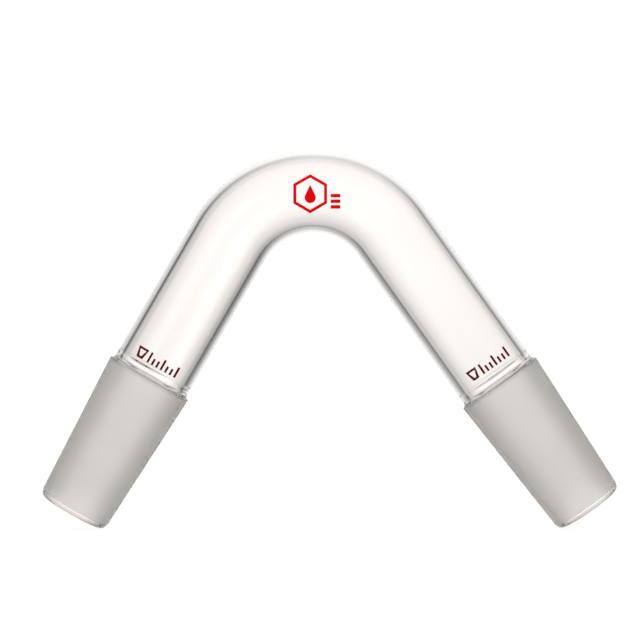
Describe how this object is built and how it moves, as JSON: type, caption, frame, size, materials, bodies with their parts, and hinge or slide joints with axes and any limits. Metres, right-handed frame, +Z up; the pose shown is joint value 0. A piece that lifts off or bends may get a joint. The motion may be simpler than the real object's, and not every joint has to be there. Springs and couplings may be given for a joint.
{
  "type": "bent glass connecting adapter",
  "caption": "Clear laboratory glass tube bent into an inverted V, with a male ground-glass taper joint sealed to each end and fired red marks.",
  "frame": {"origin": "centre of the left joint's gauge plane, where its ground cone is widest", "axes": "the bend lies in the XZ plane; +Z up with the crown of the bend on top; +X from the left joint towards the right joint; the printed marks face -Y"},
  "size_m": [0.1551, 0.024, 0.102],
  "materials": {
    "clear_glass": "clear, fire-polished borosilicate",
    "ground_glass": "ground matt outside, clear shoulder and rim",
    "bright_red_enamel": "fired enamel, satin",
    "dark_red_enamel": "fired enamel, satin"
  },
  "bodies": {
    "root": {"elbow": "clear_glass", "left_arm": "clear_glass", "right_arm": "clear_glass", "left_joint": "ground_glass", "right_joint": "ground_glass", "maker_mark": "bright_red_enamel", "left_size_mark": "dark_red_enamel", "right_size_mark": "dark_red_enamel"}
  },
  "joints": []
}
